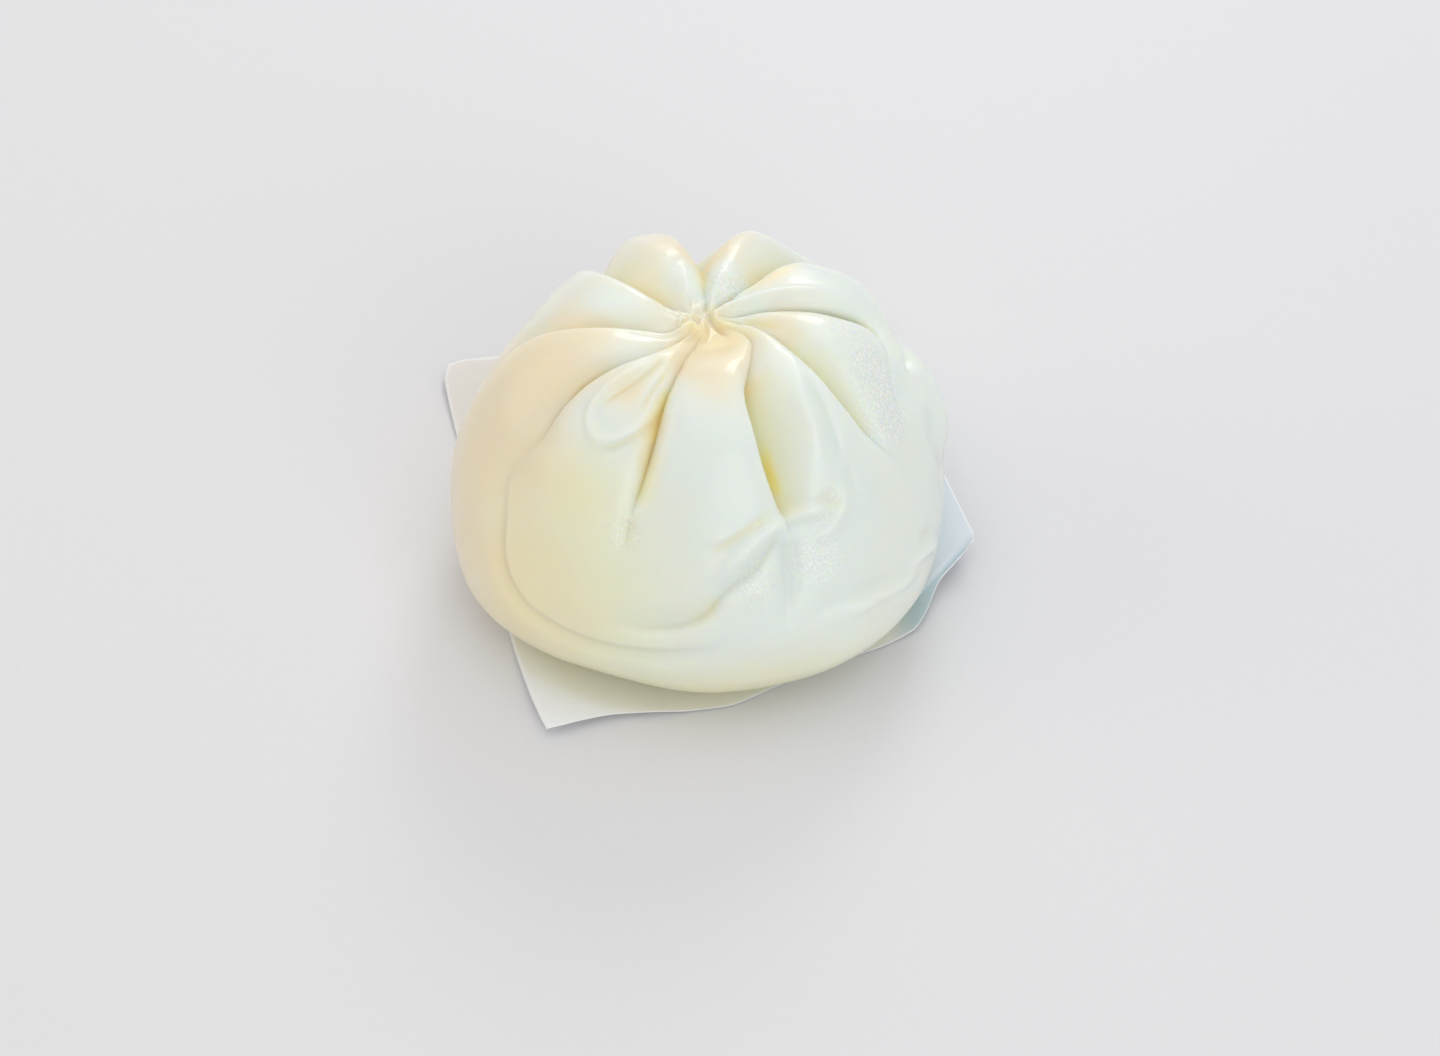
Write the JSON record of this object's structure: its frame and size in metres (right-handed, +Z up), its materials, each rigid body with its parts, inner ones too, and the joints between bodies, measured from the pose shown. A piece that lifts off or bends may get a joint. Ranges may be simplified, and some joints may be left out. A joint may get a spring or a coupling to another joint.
{
  "type": "steamed bun",
  "caption": "Large steamed bun of white dough, gathered into deep pleats round a knot on top, resting on a thin sheet of white paper.",
  "frame": {"origin": "on the underside of the paper, below the middle of the bun", "axes": "+Z up, the bun seen in front view from -Y, +X to the right"},
  "size_m": [0.1142, 0.1254, 0.0637],
  "materials": {
    "dough": "moist, softly glossy steamed dough",
    "paper": "matt white paper"
  },
  "bodies": {
    "root": {"bun": "dough", "paper": "paper"}
  },
  "joints": []
}
